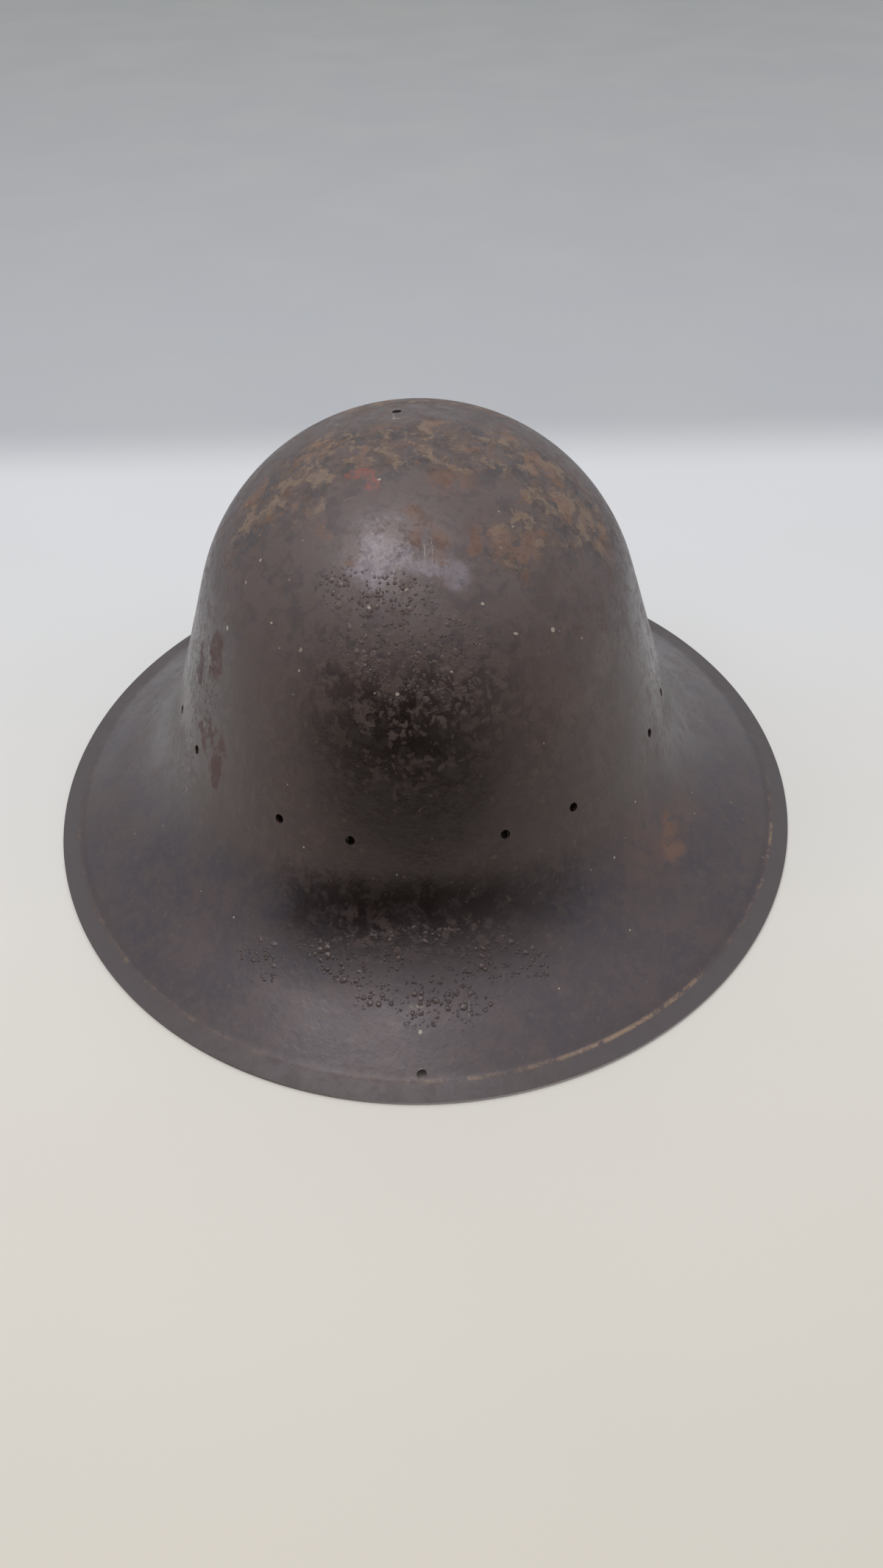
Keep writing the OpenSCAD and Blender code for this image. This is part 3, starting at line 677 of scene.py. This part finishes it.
def cloth(length, width, place, steps, rows, closed=False):
    """A strip of faces laid by place(along, across), with its two ends joined if it is closed."""
    bm = bmesh.new()
    bmesh.ops.create_grid(bm, x_segments=steps, y_segments=rows, size=0.5)
    bmesh.ops.scale(bm, vec=(length, width, 1), verts=bm.verts)
    bmesh.ops.translate(bm, vec=(length / 2, 0, 0), verts=bm.verts)
    lay(bm, place)
    if closed:
        bmesh.ops.remove_doubles(bm, verts=bm.verts, dist=1e-5)
    return bm


def thicken(piece, thickness, edge, levels=1):
    """Live modifiers that give a strip its thickness, rounded edges and smooth curves."""
    solid = piece.modifiers.new("thickness", "SOLIDIFY")
    solid.thickness = thickness
    solid.offset = 0
    solid.use_even_offset = True
    round_off = piece.modifiers.new("edge", "BEVEL")
    round_off.width = edge
    round_off.segments = 2
    round_off.limit_method = "ANGLE"
    round_off.angle_limit = radians(50)
    if levels:
        smooth = piece.modifiers.new("smooth", "SUBSURF")
        smooth.levels = smooth.render_levels = levels
    for face in piece.data.polygons:
        face.use_smooth = True


def ring(radius, height):
    """A function that lays a strip round the oval, with radius and height given by across."""
    girth = 2 * pi * radius(0) * (1 + OVAL) / 2

    def place(along, across):
        turn = 2 * pi * along / girth
        return Vector((radius(across) * sin(turn), -OVAL * radius(across) * cos(turn), height(across)))

    return girth, place


# Stitches: a row of short threads along U at a height V, each a rounded ridge whose ends go into holes with
# painted shade
stitches, given, result = new_group("stitches", ["Thread", "ShadedHole"], Vector=ORIGIN, Row=0.0, Pitch=0.003,
                                    Thick=0.0004)
flat = put("SeparateXYZ", {"Vector": given["Vector"]}).outputs
off_row = reckon("ABSOLUTE", reckon("SUBTRACT", flat["Y"], given["Row"]))
off_row = reckon("DIVIDE", off_row, given["Thick"])
part = reckon("FRACT", reckon("DIVIDE", flat["X"], given["Pitch"]))
part = reckon("ABSOLUTE", reckon("SUBTRACT", part, 0.5))
feed(result["Thread"], times(fade(part, 0.32, 0.40, 1.0, 0.0), fade(off_row, 0.5, 1.1, 1.0, 0.0)))
feed(result["ShadedHole"], times(fade(part, 0.38, 0.46), fade(off_row, 0.6, 1.2, 1.0, 0.0)))

# Leather grain: small swollen cells between creases
grain, given, result = new_group("grain", ["Height"], Vector=ORIGIN, Scale=700.0)
cells = put("TexVoronoi", {"Vector": given["Vector"], "Scale": given["Scale"]}, feature="DISTANCE_TO_EDGE")
crease = noise(given["Vector"], 160.0, 5.0)
swollen = fade(cells.outputs["Distance"], 0.0, 0.25)
feed(result["Height"], times_plus(crease, 0.8, swollen))


def leather(name, colour, worn_colour, rows, roughness, sheen):
    """Leather or leathercloth, with rows of stitching at the given places across the strip."""
    material, tree, shader, coords = new_material(name)
    cut = put("UVMap", tree=tree, uv_map="cloth").outputs["UV"]
    stain = patches(coords, 45.0, 0.40, 0.72)
    rubbed = patches(coords, 260.0, 0.62, 0.72, 3.0)
    finish = colour, fade(stain, 0.0, 1.0, roughness, roughness + 0.15)
    finish = coat(finish, stain, 0.7, worn_colour)
    finish = coat(finish, rubbed, 0.35, tuple(c * 2.2 for c in worn_colour))
    height = times(use(grain, "Height", Vector=coords), 0.00005)
    for row in rows:
        thread = use(stitches, "Thread", Vector=cut, Row=row)
        hole = use(stitches, "ShadedHole", Vector=cut, Row=row)
        # Painted shade in the stitch holes
        finish = coat(finish, hole, 1.0, (0.008, 0.006, 0.005))
        finish = coat(finish, thread, 1.0, (0.26, 0.21, 0.14), 0.2)
        height = times_plus(hole, -0.00025, times_plus(thread, 0.00022, height))
    dress(shader, *finish, height)
    feed(shader.inputs["Sheen Weight"], sheen)
    feed(shader.inputs["Sheen Roughness"], 0.4)
    return material


band_w = (BAND_TOP - BAND_LOW) / sin(WALL_SLOPE)
band_run = run_at((BAND_LOW + BAND_TOP) / 2, BAND_MID)
girth, place = ring(lambda across: liner_section(band_run - across, BAND_MID).x,
                    lambda across: liner_section(band_run - across, BAND_MID).z)
headband_bm = cloth(girth, band_w - 3 * THIN, place, 180, 8, closed=True)
band_cloth = leather("leathercloth_band", (0.022, 0.016, 0.013), (0.040, 0.028, 0.020),
                     (0.0142, 0.0118, -0.0142), 0.42, 0.1)
headband = new_piece("headband_cloth", headband_bm, "helmet", "leathercloth", band_cloth, "headband")
thicken(headband, BAND_T - THIN, 0.0007)

# ---- Sweatband ----
# Thin tan leather inside the headband, darkened where the forehead touched it. Its lower
# edge is turned out under the headband and sewn there.
SWEAT_MID = STRAP_T + 2 * SEWN + BAND_T + SWEAT_T / 2
SWEAT_TOP, TURN_R, TURNED_OUT = 0.052, 0.0010, 0.0008
sweat_top_run = run_at(SWEAT_TOP, SWEAT_MID)
sweat_low_run = run_at(BAND_LOW - SEWN - SWEAT_T / 2, SWEAT_MID) - TURN_R
sweat_side = sweat_low_run - sweat_top_run
sweat_w = sweat_side + TURN_R * pi / 2 + TURNED_OUT


def sweat_section(across):
    """The leather's section: down its side, round the turn and out under the band."""
    down = sweat_w / 2 - across
    if down < sweat_side:
        return liner_section(sweat_top_run + down, SWEAT_MID)
    turned = min((down - sweat_side) / TURN_R, pi / 2)
    middle = liner_section(sweat_low_run, SWEAT_MID - TURN_R)
    spot = middle + TURN_R * (downward(WALL_SLOPE) * sin(turned) - outward(WALL_SLOPE) * cos(turned))
    return spot + outward(WALL_SLOPE) * max(0.0, down - sweat_side - TURN_R * pi / 2)


girth, place = ring(lambda across: sweat_section(across).x, lambda across: sweat_section(across).z)
sweatband_bm = cloth(girth, sweat_w, place, 180, 24, closed=True)
sweat_hide = leather("sweat_leather", (0.130, 0.066, 0.032), (0.055, 0.028, 0.016), (0.0128, -0.0118),
                     0.46, 0.0)
sweatband = new_piece("sweatband_leather", sweatband_bm, "helmet", "sweat_leather", sweat_hide, "sweatband")
thicken(sweatband, SWEAT_T - THIN, 0.0003, 0)

# ---- Join patch ----
# Covers the headband's two ends at the back, sewn on through both.
PATCH_W, STRAP_LOW = 0.028, 0.031
PATCH_COLOURS = (0.024, 0.018, 0.014), (0.045, 0.032, 0.022)
join_mid = STRAP_T / 2
join_top, join_low = run_at(BAND_TOP - 0.004, join_mid), run_at(STRAP_LOW, join_mid)


def join_place(along, across):
    spot = liner_section(join_low - along, join_mid)
    return on_oval(pi, across, spot.x, spot.z)


join_bm = cloth(join_low - join_top, PATCH_W - 2 * THIN, join_place, 12, 14)
join_cloth = leather("leathercloth_patch", *PATCH_COLOURS, (0.0118, -0.0118), 0.42, 0.1)
join_patch = new_piece("join_patch_cloth", join_bm, "helmet", "leathercloth", join_cloth,
                       "headband_join_patch")
thicken(join_patch, STRAP_T - THIN, 0.0004)

# ---- Cradle straps ----
# Eight straps of cotton webbing, sewn to the outside of the headband and drawn over to the
# crown, where they end between two patches.
PAIRS = ("front_left", "side_front_left", "side_rear_left", "rear_left",
         "rear_right", "side_rear_right", "side_front_right", "front_right")
STRAP_W, STRAP_END = 0.020, 0.026

# Weave: rows of rounded yarns that pass over and under each other
weave, given, result = new_group("weave", ["Height"], Vector=ORIGIN, Across=0.00075, Along=0.0011)
flat = put("SeparateXYZ", {"Vector": given["Vector"]}).outputs
yarn = reckon("DIVIDE", flat["Y"], given["Across"])
odd = reckon("MODULO", reckon("FLOOR", reckon("ADD", yarn, 200.0)), 2.0)
over = reckon("ADD", reckon("DIVIDE", flat["X"], given["Along"]), times(odd, 0.5))
waves = [reckon("SINE", times(turns, pi)) for turns in (yarn, over)]
domes = [reckon("SQRT", reckon("ABSOLUTE", wave)) for wave in waves]
feed(result["Height"], times(*domes))


def webbing(name, colour, dirt, half_width):
    """Cotton webbing with a firm edge, dirty and rubbed in places, with painted shade between its yarns."""
    material, tree, shader, coords = new_material(name)
    cut = put("UVMap", tree=tree, uv_map="cloth").outputs["UV"]
    yarns = use(weave, "Height", Vector=cut)
    fuzz = fade(noise(coords, 1500.0, 3.0), 0.45, 0.75)
    side = reckon("ABSOLUTE", put("SeparateXYZ", {"Vector": cut}).outputs["Y"])
    edge = fade(side, half_width - 0.0014, half_width - 0.0006)
    # Painted shade: darker where the weave dips between yarns
    finish = blend_colour(yarns, tuple(c * 0.35 for c in colour), colour), 0.9
    finish = coat(finish, patches(coords, 60.0, 0.42, 0.68), 0.55, dirt)
    finish = coat(finish, fuzz, 0.30, tuple(c * 1.7 for c in colour))
    finish = coat(finish, edge, 0.35, tuple(c * 0.6 for c in colour))
    dress(shader, *finish, times_plus(edge, 0.00012, times(yarns, 0.00016)))
    feed(shader.inputs["Sheen Weight"], 0.25)
    return material


cradle_webbing = webbing("cradle_webbing", (0.28, 0.23, 0.14), (0.075, 0.055, 0.038), STRAP_W / 2)
strap_low_run = run_at(STRAP_LOW, STRAP_T / 2)
strap_top_run = asin(STRAP_END / CRADLE_CROWN_R) * CRADLE_CROWN_R + 0.0012
for i, pair in enumerate(PAIRS):
    def place(along, across):
        spot = liner_section(strap_low_run - along, STRAP_T / 2)
        return on_oval(pair_turn(i), across, spot.x, spot.z)

    strap_bm = cloth(strap_low_run - strap_top_run, STRAP_W - 2 * THIN, place, 72, 8)
    strap = new_piece("cradle_webbing_" + pair, strap_bm, "helmet", "webbing", cradle_webbing,
                      "cradle_strap_" + pair)
    thicken(strap, STRAP_T - THIN, 0.0004)

# ---- Crown patches ----
# Two rounds of leathercloth, sewn together through the straps' ends. Between the straps they
# sink towards each other.
PATCH_R, PATCH_T = 0.038, 0.0010
crown_cloth = leather("leathercloth_crown", *PATCH_COLOURS, (PATCH_R - 0.003, PATCH_R - 0.0055), 0.42, 0.1)


def crown_round(name, depth, sink, node):
    """A round patch whose cloth sinks by a little between the straps."""
    round_bm = bmesh.new()
    uv = round_bm.loops.layers.uv.new("cloth")
    last = round_bm.verts.new((0, 0, 0))
    for step in range(30):
        point = round_bm.verts.new(((PATCH_R - 0.0003) * (step + 1) / 30, 0, 0))
        round_bm.edges.new((last, point))
        last = point
    bmesh.ops.spin(round_bm, geom=round_bm.verts[:] + round_bm.edges[:], cent=(0, 0, 0), axis=(0, 0, 1),
                   angle=2 * pi, steps=144, use_merge=True)
    bmesh.ops.remove_doubles(round_bm, verts=round_bm.verts, dist=2e-6)
    bmesh.ops.recalc_face_normals(round_bm, faces=round_bm.faces)
    for face in round_bm.faces:
        for loop in face.loops:
            flat = loop.vert.co
            turn = atan2(flat.y, flat.x)
            if turn < -pi + 0.01 and max(atan2(v.co.y, v.co.x) for v in face.verts) > 1:
                turn += 2 * pi
            loop[uv].uv = (turn * PATCH_R, flat.length)
    for vert in round_bm.verts:
        radius, turn = vert.co.length, atan2(vert.co.x, -OVAL * vert.co.y)
        beside = min(abs(radius * sin(turn - pair_turn(i))) for i in range(len(PAIRS))
                     if cos(turn - pair_turn(i)) > 0.5) if radius > 0.001 else 0.0
        free = min(1.0, max(0.0, (beside - STRAP_W / 2) / 0.003)) if radius > STRAP_END else 0.0
        run = asin(radius / CRADLE_CROWN_R) * CRADLE_CROWN_R
        spot = liner_section(run, depth + sink * free * free * (3 - 2 * free))
        x, y = (vert.co.x / radius, vert.co.y / radius) if radius > 1e-6 else (0, 0)
        vert.co = (spot.x * x, OVAL * spot.x * y, spot.z)
    patch = new_piece(name, round_bm, "helmet", "leathercloth", crown_cloth, node)
    thicken(patch, PATCH_T - THIN / 2, 0.0003, 0)


crown_round("crown_patch_over", -SEWN - PATCH_T / 2, 0.0004, "crown_patch_top")
crown_round("crown_patch_below", STRAP_T + SEWN + PATCH_T / 2, -0.0004, "crown_patch_under")

# ---- Hanger loops ----
# Flat tunnels of webbing between the two holes of each pair; the lace that hangs the liner
# in the shell runs through them.
LOOP_LEN, LOOP_W, LOOP_T = 0.016, 0.017, 0.0010
loop_middle = LINER_POINT + (SEWN + (LOOP_DEPTH - SEWN) / 2) * outward(WALL_SLOPE)
loop_bend = (LOOP_DEPTH - SEWN - LOOP_T) / 2
loop_straight = LOOP_LEN - LOOP_DEPTH + SEWN
loop_girth = 2 * loop_straight + 2 * pi * loop_bend


def loop_section(along):
    """Once round the flat loop: up its outer side, over, down its inner side and under."""
    side, rest = divmod(along, loop_girth / 2)
    if rest < loop_straight:
        up, out = rest - loop_straight / 2, loop_bend
    else:
        turned = (rest - loop_straight) / loop_bend
        up, out = loop_straight / 2 + loop_bend * sin(turned), loop_bend * cos(turned)
    sign = 1 if side < 1 else -1
    return loop_middle + sign * (out * outward(WALL_SLOPE) - up * downward(WALL_SLOPE))


loop_webbing = webbing("loop_webbing", (0.24, 0.20, 0.13), (0.070, 0.052, 0.038), LOOP_W / 2)
for i, pair in enumerate(PAIRS):
    def place(along, across):
        spot = loop_section(along % loop_girth)
        return on_oval(pair_turn(i), across, spot.x, spot.z)

    loop_bm = cloth(loop_girth, LOOP_W - 0.0003, place, 48, 8, closed=True)
    loop = new_piece("loop_webbing_" + pair, loop_bm, "helmet", "webbing", loop_webbing,
                     "hanger_loop_" + pair)
    thicken(loop, LOOP_T - THIN, 0.0003)

# ---- Chin tabs ----
# Leathercloth tongues sewn to the headband's sides. Each hangs below it with a round end and
# a hole, for the rivet that the chin strap swings on.
PIVOT_Z, TAB_W, TAB_T, TAB_TOP, RIVET_R = 0.0102, 0.018, 0.0020, 0.045, 0.0020
TAB_MID = STRAP_T - TAB_T / 2
tab_x = liner_section(run_at(BAND_LOW, STRAP_T + SEWN), STRAP_T + SEWN).x
tab_side = (TAB_TOP - BAND_LOW) / sin(WALL_SLOPE)
tab_hang = BAND_LOW - PIVOT_Z


def tongue(length, width, place, steps, rows, ends, hole):
    """A strip whose start or end, or both, is a half round about a hole."""
    bm = bmesh.new()
    half = width / 2
    low = 2 * half if "start" in ends else 0.0
    high = length - 2 * half if "end" in ends else length
    bmesh.ops.create_grid(bm, x_segments=steps, y_segments=rows, size=0.5)
    for vert in bm.verts:
        vert.co = (low + (vert.co.x + 0.5) * (high - low), vert.co.y * width, 0)
    for end, at, way in (("start", low, -1), ("end", high, 1)):
        if end not in ends:
            continue
        centre = Vector((at + way * half, 0, 0))
        rim = [Vector((at, half * (2 * k / rows - 1), 0)) for k in range(rows + 1)]
        rim += [centre + half * Vector((way * sin(pi * k / 18), cos(pi * k / 18), 0)) for k in range(19)]
        rim.append(Vector((at, -half, 0)))
        rim = [co for k, co in enumerate(rim[:-1]) if (co - rim[k - 1]).length > 1e-7]
        rings = [[bm.verts.new(co.lerp(centre + hole * (co - centre).normalized(), share)) for co in rim]
                 for share in (0.0, 0.35, 0.7, 1.0)]
        for outer, inner in zip(rings, rings[1:]):
            for k in range(len(rim)):
                face = bm.faces.new((outer[k - 1], outer[k], inner[k], inner[k - 1]))
                face.normal_update()
                if face.normal.z < 0:
                    face.normal_flip()
    bmesh.ops.remove_doubles(bm, verts=bm.verts, dist=1e-6)
    lay(bm, place)
    return bm


def tab_place(along, across):
    if along < tab_side:
        spot = liner_section(run_at(TAB_TOP, TAB_MID) + along, TAB_MID)
        return on_oval(pi / 2, across, spot.x, spot.z)
    return Vector((tab_x + TAB_T / 2, across, BAND_LOW - (along - tab_side)))


tab_cloth = leather("leathercloth_tab", *PATCH_COLOURS, (0.0074, -0.0074), 0.42, 0.1)
for side, turned in (("right", 1), ("left", -1)):
    tab_bm = tongue(tab_side + tab_hang + TAB_W / 2, TAB_W - THIN, tab_place, 40, 8, ("end",),
                    RIVET_R + THIN / 2)
    bmesh.ops.scale(tab_bm, vec=(turned, 1, 1), verts=tab_bm.verts)
    tab = new_piece("chin_tab_cloth_" + side, tab_bm, "helmet", "leathercloth", tab_cloth,
                    "chin_tab_" + side)
    thicken(tab, TAB_T - THIN, 0.0006)

# ---- Chin strap ----
# Two lengths of narrow webbing. The long one runs from the left rivet round the front,
# through the slide and back inside itself; the short one holds the slide on the right.
CHIN_W, CHIN_T, LAYERS, SWING = 0.015, 0.0014, 0.0030, 0.0003
ARM, BEND_R, BAR_Y, BAR_PITCH, TAIL_X = 0.038, 0.060, 0.022, 0.007, -0.020
chin_x = tab_x + TAB_T + SWING + CHIN_T / 2
arm_bend = chin_x - BEND_R


def walk(x, y, heading, *legs):
    """A flat route of straight legs (a length) and bends (a radius and an angle, left positive).
    Returns its whole length, and a function that gives the point at any way along it."""
    parts = []
    here, total = Vector((x, y)), 0.0
    for leg in legs:
        ahead = Vector((cos(heading), sin(heading)))
        if isinstance(leg, tuple):
            bend, angle = leg
            hand = 1 if angle > 0 else -1
            centre = here + hand * bend * Vector((-ahead.y, ahead.x))
            parts.append((total, centre, bend, heading, hand))
            heading += angle
            here = centre + hand * bend * Vector((sin(heading), -cos(heading)))
            total += bend * abs(angle)
        else:
            parts.append((total, here.copy(), None, heading, 0))
            here += leg * ahead
            total += leg

    def at(along):
        start, origin, bend, way, hand = [part for part in parts if part[0] <= along or part is parts[0]][-1]
        if bend is None:
            return origin + (along - start) * Vector((cos(way), sin(way)))
        way += hand * (along - start) / bend
        return origin + hand * bend * Vector((sin(way), -cos(way)))

    return total, at


chin_webbing = webbing("chin_webbing", (0.26, 0.21, 0.13), (0.080, 0.058, 0.040), CHIN_W / 2)


def chin_piece(name, node, steps, length, at):
    def place(along, across):
        spot = at(along)
        return Vector((spot.x, spot.y, PIVOT_Z + across))

    strap_bm = tongue(length, CHIN_W - THIN, place, steps, 8, ("start",), RIVET_R + THIN / 2)
    strap = new_piece(name, strap_bm, "chin_strap", "webbing", chin_webbing, node)
    thicken(strap, CHIN_T - THIN, 0.0004)


past_slide = ARM - BAR_Y - BAR_PITCH
chin_piece("chin_webbing_long", "chin_strap_long", 300,
           *walk(-chin_x, CHIN_W / 2, -pi / 2, CHIN_W / 2 + ARM, (BEND_R, pi / 2), 2 * arm_bend,
                 (BEND_R, pi / 2), past_slide, (LAYERS / 2, pi), past_slide, (BEND_R - LAYERS, -pi / 2),
                 arm_bend - TAIL_X))
chin_piece("chin_webbing_short", "chin_strap_short", 80,
           *walk(chin_x, CHIN_W / 2, -pi / 2, CHIN_W / 2 + BAR_Y, (LAYERS / 2, -pi),
                 BAR_Y - TAB_W / 2 - CHIN_T))

# ---- Keeper ----
# A loop of leather that holds the strap's tail to it and slides along the front run.
KEEPER_LEN, KEEPER_T, KEEPER_GAP, KEEPER_BEND = 0.008, 0.0010, 0.0003, 0.0009
keeper_deep = LAYERS + CHIN_T + 2 * KEEPER_GAP + KEEPER_T
keeper_tall = CHIN_W + 2 * KEEPER_GAP + KEEPER_T
keeper_girth, keeper_at = walk(0, 0, 0, *(keeper_deep - 2 * KEEPER_BEND, (KEEPER_BEND, pi / 2),
                                          keeper_tall - 2 * KEEPER_BEND, (KEEPER_BEND, pi / 2)) * 2)


def keeper_place(along, across):
    spot = keeper_at(along % keeper_girth)
    return Vector((across, LAYERS / 2 - ARM - BEND_R + spot.x - keeper_deep / 2 + KEEPER_BEND,
                   PIVOT_Z + spot.y - keeper_tall / 2))


keeper_bm = cloth(keeper_girth, KEEPER_LEN - THIN, keeper_place, 96, 6, closed=True)
keeper_hide = leather("keeper_leather", (0.060, 0.030, 0.017), (0.030, 0.016, 0.010), (0.0028, -0.0028),
                      0.42, 0.0)
keeper = new_piece("keeper_leather", keeper_bm, "keeper", "sweat_leather", keeper_hide, "strap_keeper")
thicken(keeper, KEEPER_T - THIN, 0.0003)

# ---- Bare steel ----
# Rivets, washers, the wire slide and the strap's tip: dull grey steel, freckled brown.
bare_steel, tree, shader, coords = new_material("bare_steel")
tarnish = patches(coords, 420.0, 0.45, 0.65)
rusted = patches(coords, 900.0, 0.58, 0.66, 4.0)
tone = blend_colour(tarnish, (0.33, 0.31, 0.28), (0.15, 0.13, 0.115))
tone = blend_colour(rusted, tone, (0.10, 0.045, 0.022))
dress(shader, tone, fade(tarnish, 0.0, 1.0, 0.32, 0.55), times(noise(coords, 1800.0, 4.0), 0.00003))
feed(shader.inputs["Metallic"], times_plus(rusted, -0.7, 0.85))
for name in ("chin_rivet_left", "chin_rivet_right", "chin_washer_left", "chin_washer_right", "slide_buckle",
             "strap_tip"):
    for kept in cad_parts[name].material_slots:
        kept.material = bare_steel
